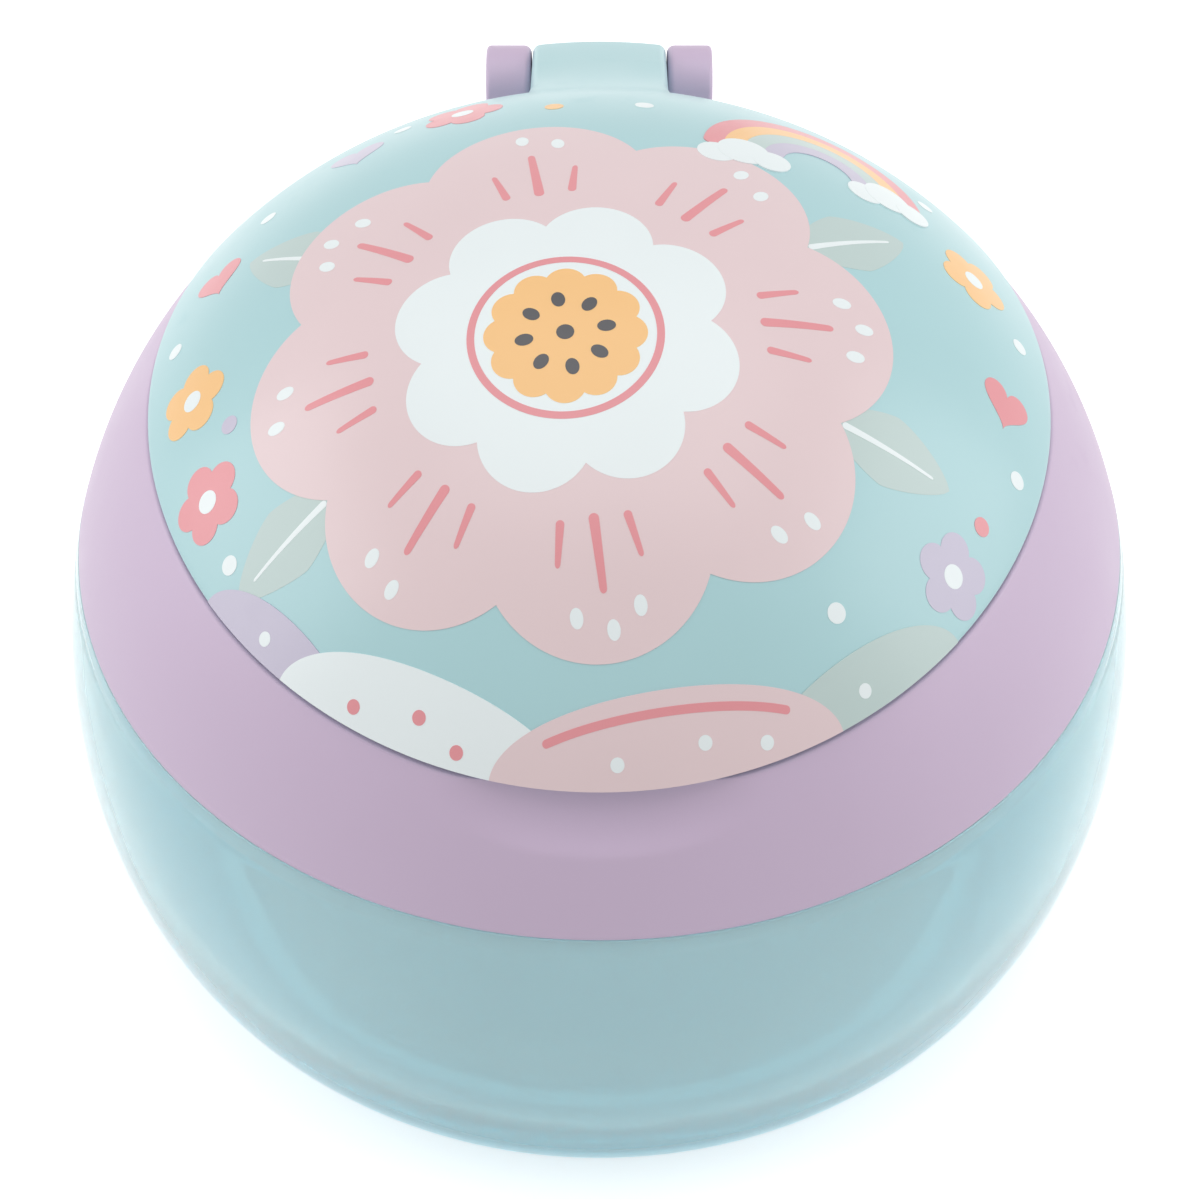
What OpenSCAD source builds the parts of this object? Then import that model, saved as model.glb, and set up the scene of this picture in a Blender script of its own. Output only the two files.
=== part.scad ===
// Snack cup for toddlers: a see-through bowl, a screw-on collar that holds a soft insert with
// flaps, and a domed lid on a pin hinge. The collar and the lid share one rounded crown, parted
// by a shallow valley. +Z is up, -Y is the front, the hinge is at +Y, and the table is at Z = 0.

/* [Overall shape] */
// Height of the closed cup
total_h = 82; // [78:0.5:88]
// Radius of the bowl at its widest circle
belly_r = 54; // [51:0.5:58]
// Height of the widest circle
belly_z = 26; // [22:0.5:29]
// Fullness of the crown above the widest circle, where 2 is an ellipse
crown_n = 2.15; // [2.05:0.05:2.5]
// Radius of the foot
foot_r = 43; // [36:0.5:46]
// Fullness of the bowl below its widest circle, where 2 is an ellipse
keel_n = 1.95; // [1.6:0.05:2.4]

/* [Bowl] */
// Wall of the bowl and of its neck
bowl_wall = 2.2; // [1.6:0.1:2.8]
// Height of the bowl's inner floor
floor_z = 2.8; // [2.2:0.1:4]
// Width of the ring that the bowl stands on
foot_w = 4; // [2.5:0.5:6]
// Depth of the recess inside that ring
foot_recess = 0.8; // [0.4:0.1:1.2]
// Height of the shoulder under the collar
shoulder_z = 45; // [43:0.5:46.5]
// Height of the threaded neck above the shoulder
neck_h = 7.2; // [6:0.1:7.8]
// Radius of the soft edges along the joint between bowl and collar
edge_r = 0.9; // [0.4:0.1:1.4]

/* [Collar] */
// Thinnest wall of the collar
collar_wall = 1.9; // [1.5:0.1:2.3]
// Thickness of the collar's deck over the insert
deck_t = 2; // [1.6:0.1:2.4]
// Width of the deck, from the rim that the lid closes on to the mouth
deck_w = 4.5; // [3:0.5:7]
// Wall of the skirt that carries the thread
skirt_t = 1.3; // [1:0.1:1.6]
// Depth of the cored-out groove behind that skirt
core_depth = 2.8; // [1.5:0.1:3.4]
// Depth of the finger recess under the lid's front edge
recess_depth = 1.5; // [0.8:0.1:2]
// How far down the collar the finger recess reaches
recess_drop = 5.5; // [4:0.5:7]

/* [Lid] */
// Height of the joint between collar and lid at the front and the back
rim_front_z = 58.1; // [57.2:0.1:59]
// Height of the same joint at the sides
rim_side_z = 62.2; // [60:0.1:63]
// Wall of the lid
lid_wall = 2; // [1.5:0.1:2.5]
// How far the lid's edge stands out over the collar
lid_lip = 0.4; // [0.2:0.05:0.6]
// Thickness of the lap ring inside the lid
lap_t = 1.5; // [1.2:0.1:2]
// How far the lap ring reaches down into the collar
lap_depth = 1.5; // [1:0.1:1.8]

/* [Hinge] */
// Radius of the hinge pin
pin_r = 1.5; // [1.2:0.1:1.8]
// Radius of the hinge barrel and of the lugs
barrel_r = 4.2; // [4:0.1:4.5]
// Height of the hinge axis
hinge_z = 59.2; // [58.9:0.1:59.8]
// Width of the lid's barrel
barrel_w = 14.2; // [10:0.2:20]
// Width of each lug on the collar
lug_w = 4.8; // [3.5:0.1:7]
// Radius of the rounded ends of the barrel and the lugs
knuckle_r = 1.1; // [0.6:0.1:1.6]
// Height where the lugs run out into the collar
lug_foot_z = 51.5; // [50.5:0.5:53]
// How far the lugs stand out from the collar at that height
lug_proud = 0.8; // [0.4:0.1:1.2]
// Distance from the cup's axis to where the lid's bridge leaves the dome
bridge_y = 36; // [34:0.5:38]
// How deep the bridge starts in the dome
bridge_sink = 0.5; // [0.3:0.1:0.8]

/* [Soft insert] */
// Thickness of the flange between bowl and collar
flange_t = 1.5; // [1.3:0.1:1.7]
// Depth of the ring that centres the insert in the neck
spigot_h = 3; // [2:0.5:4]
// Wall of that ring
spigot_t = 1.2; // [1:0.1:1.6]
// Thickness of each flap
flap_t = 1.1; // [0.9:0.05:1.2]
// How far inside the mouth the flaps bend
flap_inset = 5; // [4.6:0.1:6.5]
// Width of the slits between the flaps
slit_w = 0.6; // [0.4:0.1:1]
// Distance from the middle of the mouth to the tip of each flap
eye_r = 2.5; // [1.5:0.5:5]

/* [Clearances] */
// Gap between round faces of pieces that move past each other
run_gap = 0.3; // [0.2:0.05:0.4]
// Gap between flat faces that seat on each other
seat_gap = 0.1; // [0.05:0.05:0.2]
// Radial play of the pin in the lid's barrel
pin_play = 0.08; // [0.03:0.01:0.1]
// Radial play of the pin in the lugs
lug_play = 0.02; // [0.01:0.01:0.03]
// Height left for the screw thread between neck and collar
thread_h = 0.9; // [0.7:0.1:1.1]

/* [Hidden] */
$fn = 144;

flaps = 8;                                // one for each flap node
flap_turn = 360 / flaps;
arc_steps = 8;                            // steps in a small rounded edge
wall_steps = 16;                          // steps along a curved wall
dome_steps = 40;                          // steps from the lid's edge to its top

// Colours
blue_plastic = [0.69, 0.85, 0.87];
clear_blue = [0.62, 0.80, 0.83, 0.75];
lilac_plastic = [0.75, 0.69, 0.78];
soft_lilac = [0.80, 0.75, 0.83];
steel = [0.75, 0.76, 0.78];

// Heights in the stack of neck, insert and collar
neck_top_z = shoulder_z + neck_h;
flange_z = neck_top_z + seat_gap;
deck_under_z = flange_z + flange_t + seat_gap;
deck_top_z = deck_under_z + deck_t;
collar_foot_z = shoulder_z + run_gap;
flap_z = flange_z + flange_t / 2;

// Radii of the same stack
bore_r = crown_r(deck_under_z) - collar_wall;
neck_r = bore_r - thread_h - run_gap;
throat_r = neck_r - bowl_wall;
rim_in_r = crown_r(rim_side_z) - collar_wall;
mouth_r = rim_in_r - deck_w;
lap_r = rim_in_r - run_gap;
flap_root = mouth_r - flap_inset;
foot_in_r = foot_r - foot_w;

// Valley that parts the lid from the collar: a cylinder along Y, lowest over the middle
rim_rise = rim_side_z - rim_front_z;
valley_r = (pow(crown_r(rim_side_z), 2) + rim_rise * rim_rise) / (2 * rim_rise);

// Hinge: its back stays flush with the bowl's widest circle
hinge_y = belly_r - barrel_r;
hinge_w = barrel_w + 2 * (run_gap + lug_w);
lug_x = barrel_w / 2 + run_gap + lug_w / 2;
pin_end = 0.5;                            // how deep each end of the pin sits in its lug

// Finger recess: a cylinder along X that bites into the sloping front of the collar
recess_r = (recess_drop * recess_drop + recess_depth * recess_depth) / (2 * recess_depth);
recess_top_r = crown_r(rim_front_z);
recess_low_r = crown_r(rim_front_z - recess_drop);
recess_tilt = atan2(recess_low_r - recess_top_r, recess_drop);

// Crown curve: radius at a height, height at a radius, and points by angle. dr and dz shrink it.
function crown_r(z, dr = 0, dz = 0) =
    (belly_r - dr) * pow(1 - pow((z - belly_z) / (total_h - dz - belly_z), crown_n), 1 / crown_n);
function crown_z(r, dr = 0, dz = 0) =
    belly_z + (total_h - dz - belly_z) * pow(1 - pow(r / (belly_r - dr), crown_n), 1 / crown_n);
function crown_angle(z, dz = 0) =
    asin(pow((z - belly_z) / (total_h - dz - belly_z), crown_n / 2));
function crown_point(a, dr, dz) =
    [(belly_r - dr) * pow(cos(a), 2 / crown_n),
     belly_z + (total_h - dz - belly_z) * pow(sin(a), 2 / crown_n)];
function crown_curve(z0, z1, dr, dz, steps) =
    let (a0 = crown_angle(z0, dz), a1 = crown_angle(z1, dz))
    [for (i = [0 : steps]) crown_point(a0 + (a1 - a0) * i / steps, dr, dz)];

// Keel curve: the bowl from its widest circle down to a floor. dr shrinks it.
function keel_point(a, dr, floor) =
    [foot_r - dr + (belly_r - foot_r) * pow(cos(a), 2 / keel_n),
     floor + (belly_z - floor) * (1 - pow(sin(a), 2 / keel_n))];
function keel_curve(a0, a1, dr, floor) =
    [for (i = [0 : wall_steps]) keel_point(a0 + (a1 - a0) * i / wall_steps, dr, floor)];

// Arc of a small rounded edge
function round_edge(x, y, r, a0, a1) =
    [for (i = [0 : arc_steps])
        let (a = a0 + (a1 - a0) * i / arc_steps) [x + r * cos(a), y + r * sin(a)]];

// Half of the width of a flap at a distance from the cup's axis
function flap_half(x) = x * tan(flap_turn / 2) - slit_w / 2 / cos(flap_turn / 2);

// Cylinder along X
module cylinder_x(r, w) {
    rotate([0, 90, 0])
        cylinder(h = w, r = r, center = true);
}

// Space above the valley, raised by a gap
module above_valley(gap) {
    translate([0, 0, rim_front_z + gap + valley_r])
        rotate([90, 0, 0])
            cylinder(h = 4 * belly_r, r = valley_r, center = true, $fn = 720);
}

// Knuckle along X with rounded ends
module knuckle(w) {
    x = w / 2 - knuckle_r;
    y = barrel_r - knuckle_r;
    rotate([0, 90, 0])
        rotate_extrude()
            polygon(concat(
                [[0, -w / 2]], round_edge(y, -x, knuckle_r, -90, 0),
                round_edge(y, x, knuckle_r, 0, 90), [[0, w / 2]]));
}

module bowl() {
    shoulder_in_z = shoulder_z - bowl_wall;
    rim_edge = bowl_wall / 4;
    color(clear_blue)
        rotate_extrude()
            polygon(concat(
                [[0, foot_recess], [foot_in_r, foot_recess], [foot_in_r + foot_recess, 0]],
                keel_curve(90, 0, 0, 0),
                crown_curve(belly_z, shoulder_z - edge_r, 0, 0, wall_steps),
                round_edge(crown_r(shoulder_z - edge_r) - edge_r, shoulder_z - edge_r, edge_r, 0, 90),
                [[neck_r, shoulder_z]],
                round_edge(neck_r - rim_edge, neck_top_z - rim_edge, rim_edge, 0, 90),
                round_edge(throat_r + rim_edge, neck_top_z - rim_edge, rim_edge, 90, 180),
                [[throat_r, shoulder_in_z]],
                crown_curve(shoulder_in_z, belly_z, bowl_wall, bowl_wall, wall_steps),
                keel_curve(0, 90, bowl_wall, floor_z),
                [[0, floor_z]]));
}

// Place on the hinge axis
module at_hinge() {
    translate([0, hinge_y, hinge_z])
        children();
}

// Lug at one side of the barrel, rounded like it, which runs down into the collar's wall
module lug() {
    hull() {
        at_hinge()
            knuckle(lug_w, $fn = 48);
        translate([0, crown_r(lug_foot_z) - barrel_r + lug_proud, lug_foot_z])
            knuckle(lug_w, $fn = 48);
    }
}

// Both lugs, clear of the collar's bore and of the lid's edge
module lugs() {
    difference() {
        for (side = [-1, 1])
            translate([side * lug_x, 0, 0])
                lug();
        cylinder(h = deck_under_z + deck_t / 2, r = bore_r + collar_wall / 2);
        difference() {
            above_valley(-seat_gap);
            at_hinge()
                cylinder_x(barrel_r + seat_gap / 2, 2 * hinge_w);
        }
    }
}

// Scoop for a fingertip in the sloping front of the collar, under the lid's edge
module finger_recess() {
    rise = recess_r - recess_depth;
    translate([0, -recess_top_r - rise * cos(recess_tilt), rim_front_z + rise * sin(recess_tilt)])
        cylinder_x(recess_r, belly_r);
}

module collar_ring() {
    skirt_r = bore_r + skirt_t;
    core_z = collar_foot_z + core_depth;
    top_z = rim_side_z + 1;
    lip = deck_t / 2;
    rotate_extrude()
        polygon(concat(
            round_edge(crown_r(collar_foot_z + edge_r) - edge_r, collar_foot_z + edge_r, edge_r,
                       -90, 0),
            crown_curve(collar_foot_z + edge_r, top_z, 0, 0, wall_steps),
            [[rim_in_r, top_z], [rim_in_r, deck_top_z]],
            round_edge(mouth_r + lip, deck_under_z + lip, lip, 90, 270),
            [[bore_r, deck_under_z], [bore_r, collar_foot_z], [skirt_r, collar_foot_z],
             [skirt_r, core_z], [crown_r(core_z, collar_wall), core_z],
             [crown_r(collar_foot_z, collar_wall), collar_foot_z]]));
}

module collar() {
    color(lilac_plastic)
        difference() {
            union() {
                difference() {
                    collar_ring();
                    above_valley(0);
                    finger_recess();
                }
                lugs();
            }
            at_hinge()
                cylinder_x(barrel_r + run_gap, barrel_w + 2 * run_gap);
            at_hinge()
                cylinder_x(pin_r + lug_play, 2 * hinge_w);
        }
}

module hinge_pin() {
    half = hinge_w / 2 - pin_end;
    tip = pin_r / 4;
    color(steel)
        at_hinge()
            rotate([0, 90, 0])
                rotate_extrude()
                    polygon([[0, -half], [pin_r - tip, -half], [pin_r, tip - half],
                             [pin_r, half - tip], [pin_r - tip, half], [0, half]]);
}

// Everything under the crown, above a height
module crown_solid(dr, dz, z0) {
    rotate_extrude()
        polygon(concat([[0, z0]], crown_curve(z0, total_h - dz, dr, dz, dome_steps)));
}

// Barrel of the lid, with the bridge that flows from it into the dome
module barrel_block() {
    inner_z = crown_z(bridge_y, -lid_lip) - bridge_sink - barrel_r;
    difference() {
        intersection() {
            hull() {
                at_hinge()
                    knuckle(barrel_w, $fn = 48);
                translate([0, bridge_y, inner_z])
                    knuckle(barrel_w, $fn = 48);
            }
            cylinder(h = total_h, r = belly_r);
        }
        difference() {
            translate([-barrel_w, 0, 0])
                cube([2 * barrel_w, 2 * belly_r, rim_side_z]);
            above_valley(run_gap);
            at_hinge()
                cylinder_x(barrel_r + seat_gap / 2, 3 * barrel_w);
        }
    }
}

module lap_ring() {
    mid_dr = lid_wall / 2 - lid_lip;
    mid_dz = lid_wall / 2;
    low_z = rim_front_z - 2 * lap_depth;
    intersection() {
        rotate_extrude()
            polygon([[lap_r - lap_t, low_z], [lap_r, low_z],
                     [lap_r, crown_z(lap_r, mid_dr, mid_dz)],
                     [lap_r - lap_t, crown_z(lap_r - lap_t, mid_dr, mid_dz)]]);
        above_valley(-lap_depth);
    }
}

module lid() {
    low_z = rim_front_z - lid_wall;
    color(blue_plastic) {
        difference() {
            union() {
                intersection() {
                    crown_solid(-lid_lip, 0, low_z);
                    above_valley(run_gap);
                }
                barrel_block();
            }
            crown_solid(lid_wall - lid_lip, lid_wall, low_z - lid_wall);
            for (side = [-1, 1])
                translate([side * lug_x, 0, 0])
                    at_hinge()
                        cylinder_x(barrel_r + run_gap, lug_w + 2 * run_gap);
            at_hinge()
                cylinder_x(pin_r + pin_play, 2 * barrel_w);
        }
        lap_ring();
    }
}

module flap_ring() {
    hole_r = (flap_root + flap_t / 2 + run_gap) / cos(flap_turn / 2);
    spigot_r = throat_r - run_gap;
    color(soft_lilac)
        difference() {
            union() {
                translate([0, 0, flange_z])
                    cylinder(h = flange_t, r = neck_r);
                translate([0, 0, flange_z - spigot_h])
                    difference() {
                        cylinder(h = spigot_h + flange_t / 2, r = spigot_r);
                        translate([0, 0, -1])
                            cylinder(h = spigot_h + 1, r = spigot_r - spigot_t);
                    }
            }
            translate([0, 0, flange_z - spigot_h])
                cylinder(h = 2 * spigot_h + flange_t, r = hole_r, $fn = flaps);
        }
}

// One flap: a tapered plate with a round root, which bends about that root
module flap(i) {
    root_half = flap_half(flap_root);
    tip_half = flap_half(eye_r);
    color(soft_lilac)
        rotate([0, 0, flap_turn * (i - 0.5)])
            translate([0, 0, flap_z]) {
                translate([0, 0, -flap_t / 2])
                    linear_extrude(flap_t)
                        polygon([[flap_root, -root_half], [flap_root, root_half],
                                 [eye_r, tip_half], [eye_r, -tip_half]]);
                translate([flap_root, 0, 0])
                    rotate([90, 0, 0])
                        cylinder(h = 2 * root_half, r = flap_t / 2, center = true, $fn = 48);
            }
}

bowl();
flap_ring();
for (i = [1 : flaps])
    flap(i);
collar();
hinge_pin();
lid();
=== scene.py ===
import math

import bmesh
import bpy
import numpy as np
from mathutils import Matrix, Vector


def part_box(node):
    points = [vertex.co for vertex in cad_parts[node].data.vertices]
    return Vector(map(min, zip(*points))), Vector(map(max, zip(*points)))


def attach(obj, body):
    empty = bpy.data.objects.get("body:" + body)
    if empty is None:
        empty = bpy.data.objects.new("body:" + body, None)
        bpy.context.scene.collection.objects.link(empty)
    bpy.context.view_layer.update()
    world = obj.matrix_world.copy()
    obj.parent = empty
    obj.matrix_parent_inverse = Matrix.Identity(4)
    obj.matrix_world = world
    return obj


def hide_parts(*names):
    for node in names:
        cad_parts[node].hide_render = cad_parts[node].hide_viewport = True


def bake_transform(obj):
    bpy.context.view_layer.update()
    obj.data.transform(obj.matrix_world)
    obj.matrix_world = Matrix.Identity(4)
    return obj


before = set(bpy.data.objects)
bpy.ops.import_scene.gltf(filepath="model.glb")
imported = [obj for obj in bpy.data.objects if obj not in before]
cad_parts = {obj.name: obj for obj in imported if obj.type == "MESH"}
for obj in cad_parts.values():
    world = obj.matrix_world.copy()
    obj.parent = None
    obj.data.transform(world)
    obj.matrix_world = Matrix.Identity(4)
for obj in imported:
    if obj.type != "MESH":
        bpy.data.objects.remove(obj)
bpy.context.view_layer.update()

# Lengths below are in millimetres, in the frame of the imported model.
MM = 0.001


def low(node, axis):
    """Lowest coordinate of a CAD node along an axis, in millimetres."""
    return round(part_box(node)[0][axis] / MM, 2)


def high(node, axis):
    """Highest coordinate of a CAD node along an axis, in millimetres."""
    return round(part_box(node)[1][axis] / MM, 2)


Y, Z = 1, 2

# Overall shape
TOTAL_H = high("lid", Z)
BELLY_R = high("bowl", Y)
BELLY_Z = 26.0
CROWN_N = 2.15
FOOT_R = 43.0
KEEL_N = 1.95

# Gaps, the same as between the solids
SEAT_GAP = 0.1
RUN_GAP = 0.3

# Gate marks, small round dents where a mould was filled, under the bowl and inside the lid
GATE_R = 2.2
GATE_EDGE = 0.3

# Bowl
BOWL_WALL = 2.2
FLOOR_Z = 2.8
FOOT_W = 4.0
FOOT_RECESS = 0.8
FOOT_EDGE = 0.3
FOOT_GATE_DEPTH = 0.25
SHOULDER_Z = 45.0
NECK_TOP_Z = high("bowl", Z)
NECK_R = 44.9
SHOULDER_EDGE_R = 0.25
SHOULDER_LINE_Z = 43.2
SHOULDER_LINE_W = 0.42
SHOULDER_LINE_DEPTH = 0.06

# Collar. Its foot reaches lower than the solid's, so that the joint with the bowl is a fine line.
COLLAR_WALL = 1.9
COLLAR_FOOT_REACH = 0.25
COLLAR_FOOT_Z = low("collar", Z) - COLLAR_FOOT_REACH
COLLAR_EDGE_R = 0.12
DECK_T = 2.0
DECK_UNDER_Z = high("flap_ring", Z) + SEAT_GAP
DECK_TOP_Z = DECK_UNDER_Z + DECK_T
BORE_R = 46.1
RIM_IN_R = 40.96
MOUTH_R = 36.46
SKIRT_T = 1.3
SKIRT_R = BORE_R + SKIRT_T
CORE_DEPTH = 2.8
CORE_Z = COLLAR_FOOT_Z + CORE_DEPTH
RECESS_DEPTH = 1.5
RECESS_DROP = 5.5

# Lid and the valley that parts it from the collar
RIM_FRONT_Z = 58.1
RIM_SIDE_Z = 62.2
LID_WALL = 2.0
LID_LIP = 0.4
LAP_T = 1.5
LAP_DEPTH = 1.5
LAP_R = RIM_IN_R - RUN_GAP
LID_GATE_DEPTH = 0.2

# Hinge. The bridge leaves the dome at BRIDGE_Y and meets the barrel at BRIDGE_SLOPE.
HINGE_Y = (low("hinge_pin", Y) + high("hinge_pin", Y)) / 2
HINGE_Z = (low("hinge_pin", Z) + high("hinge_pin", Z)) / 2
PIN_R = 1.5
PIN_PLAY_BARREL = 0.08
PIN_PLAY_LUG = 0.02
HOLE_EDGE = 0.15
BARREL_R = 4.2
BARREL_W = 14.2
LUG_W = 4.8
KNUCKLE_IN_R = 0.8
KNUCKLE_OUT_R = 0.5
LUG_GAP = 0.14
BARREL_CROWN = 0.45
LUG_FOOT_Z = 51.5
LUG_PROUD = 0.8
BRIDGE_Y = 33.0
BRIDGE_SLOPE = math.radians(-23)

# Soft insert. Each flap starts inside the ring, and its slits end in small round relief holes.
FLANGE_T = 1.5
SPIGOT_T = 1.2
FLAP_TOP_Z = high("flap_1", Z)
FLAP_T = 1.1
FLAP_ROOT = 31.46
FLAP_REACH = 3.0
FLAP_THINNING = 0.25
FLAP_DISH = 0.9
FLAP_GROOVE_DEPTH = 0.22
FLAP_GROOVE_W = 0.7
FLAP_BEND_HALF = 1.6
FLAP_EDGE = 0.35
EYE_R = 2.5
SLIT_W = 0.6
RELIEF_R = 0.75
RELIEF_IN = 0.4
FLAPS = 8

TURN = 2 * math.pi
QUARTER = math.pi / 2
ROUND_STEPS = 288
KNUCKLE_STEPS = 96


# ---------------------------------------------------------------- curves of the shape

def crown_r(z, dr=0.0, dz=0.0):
    """Radius of the crown at a height, shrunk by dr and dz."""
    return (BELLY_R - dr) * (1 - ((z - BELLY_Z) / (TOTAL_H - dz - BELLY_Z)) ** CROWN_N) ** (1 / CROWN_N)


def crown_z(r, dr=0.0, dz=0.0):
    """Height of the crown at a radius."""
    return BELLY_Z + (TOTAL_H - dz - BELLY_Z) * (1 - (r / (BELLY_R - dr)) ** CROWN_N) ** (1 / CROWN_N)


def crown_curve(z0, z1, steps, dr=0.0, dz=0.0):
    """Points (r, z) along the crown from height z0 to height z1."""
    rise = TOTAL_H - dz - BELLY_Z
    ends = [math.asin(min(1.0, (z - BELLY_Z) / rise) ** (CROWN_N / 2)) for z in (z0, z1)]
    a = np.linspace(*ends, steps + 1)
    cos = np.cos(a).clip(0, 1)
    cos[cos < 1e-9] = 0
    return np.column_stack([
        (BELLY_R - dr) * cos ** (2 / CROWN_N),
        BELLY_Z + rise * np.sin(a) ** (2 / CROWN_N)])


def keel_curve(a0, a1, steps, dr=0.0, floor=0.0):
    """Points (r, z) along the bowl's lower curve, by angle: 90 degrees is the foot and 0 the belly."""
    a = np.radians(np.linspace(a0, a1, steps + 1))
    return np.column_stack([
        FOOT_R - dr + (BELLY_R - FOOT_R) * np.cos(a).clip(0, 1) ** (2 / KEEL_N),
        floor + (BELLY_Z - floor) * (1 - np.sin(a).clip(0, 1) ** (2 / KEEL_N))])


VALLEY_RISE = RIM_SIDE_Z - RIM_FRONT_Z
VALLEY_R = (crown_r(RIM_SIDE_Z) ** 2 + VALLEY_RISE ** 2) / (2 * VALLEY_RISE)


def valley_z(x, gap=0.0):
    """Height of the parting valley over a distance from the middle plane."""
    return RIM_FRONT_Z + gap + VALLEY_R - math.sqrt(VALLEY_R ** 2 - x * x)


def rim_point(angle, gap, dr=0.0, dz=0.0):
    """Where the crown meets the valley, as (r, z), at an angle round the axis."""
    z = RIM_FRONT_Z
    for _ in range(12):
        r = crown_r(z, dr, dz)
        z = valley_z(r * math.cos(angle), gap)
    return r, z


def rounded(points, radii, steps=5, closed=False):
    """A polyline with its corners turned into arcs. A radius of 0 keeps the corner as it is."""
    out = []
    count = len(points)
    for i, (corner, radius) in enumerate(zip(points, radii)):
        corner = np.asarray(corner, float)
        if radius == 0 or (not closed and i in (0, count - 1)):
            out.append(corner)
            continue
        back = np.asarray(points[i - 1], float) - corner
        ahead = np.asarray(points[(i + 1) % count], float) - corner
        back /= np.linalg.norm(back)
        ahead /= np.linalg.norm(ahead)
        half = math.acos(max(-1.0, min(1.0, float(back @ ahead)))) / 2
        middle = (back + ahead) / np.linalg.norm(back + ahead)
        centre = corner + middle * radius / math.sin(half)
        first = corner + back * radius / math.tan(half) - centre
        last = corner + ahead * radius / math.tan(half) - centre
        sweep = math.pi - 2 * half
        for k in range(steps + 1):
            t = k / steps
            arm = (math.sin((1 - t) * sweep) * first + math.sin(t * sweep) * last) / math.sin(sweep)
            out.append(centre + arm)
    return np.array(out)


def ease(t):
    """Smooth step from 0 to 1."""
    t = np.clip(t, 0, 1)
    return t * t * (3 - 2 * t)


def soft_max(a, b, blend):
    """The larger of two values, blended over a width."""
    h = np.clip(0.5 + 0.5 * (a - b) / blend, 0, 1)
    return b * (1 - h) + a * h + blend * h * (1 - h)


# ---------------------------------------------------------------- mesh building

def mesh_piece(name, verts, faces, sharp_deg=45):
    """A smooth-shaded object from vertices in millimetres, with doubles merged and normals outward."""
    mesh = bpy.data.meshes.new(name)
    bm = bmesh.new()
    made = [bm.verts.new(Vector(v) * MM) for v in verts]
    for face in faces:
        bm.faces.new([made[i] for i in face])
    bmesh.ops.remove_doubles(bm, verts=bm.verts, dist=1e-7)
    bmesh.ops.dissolve_degenerate(bm, edges=bm.edges, dist=1e-8)
    bmesh.ops.recalc_face_normals(bm, faces=bm.faces)
    for face in bm.faces:
        face.smooth = True
    bm.to_mesh(mesh)
    bm.free()
    mesh.set_sharp_from_angle(angle=math.radians(sharp_deg))
    piece = bpy.data.objects.new(name, mesh)
    bpy.context.scene.collection.objects.link(piece)
    return piece


def grid_faces(rows, columns, wrap_rows, wrap_columns):
    """Quads over a grid of vertices, stored row by row."""
    faces = []
    for i in range(rows if wrap_rows else rows - 1):
        for j in range(columns if wrap_columns else columns - 1):
            a, b = i * columns, (i + 1) % rows * columns
            k = (j + 1) % columns
            faces.append((a + j, b + j, b + k, a + k))
    return faces


def turned(name, profile_at, closed=True):
    """A piece swept round the axis. profile_at(angle) gives its (r, z) points, always as many."""
    rings = []
    for angle in np.arange(ROUND_STEPS) / ROUND_STEPS * TURN:
        profile = np.asarray(profile_at(angle))
        rings.append(np.column_stack([
            profile[:, 0] * math.cos(angle), profile[:, 0] * math.sin(angle), profile[:, 1]]))
    count = len(rings[0])
    return mesh_piece(name, np.concatenate(rings), grid_faces(ROUND_STEPS, count, True, closed))


def join(name, pieces):
    """One object from several, kept as separate shells."""
    bpy.ops.object.select_all(action="DESELECT")
    for piece in pieces:
        piece.select_set(True)
    bpy.context.view_layer.objects.active = pieces[0]
    bpy.ops.object.join()
    pieces[0].name = name
    return pieces[0]


# ---------------------------------------------------------------- materials

def nodes_of(material):
    """A material's nodes and links."""
    return material.node_tree.nodes, material.node_tree.links


TONE_DRIFT = 0.02
GLOSS_DRIFT = 0.08
TONE_MM = 28
GLOSS_MM = 7
SCUFF_MM = 4
SCUFF_FROM = 0.62
SCUFF_TO = 0.72


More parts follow.
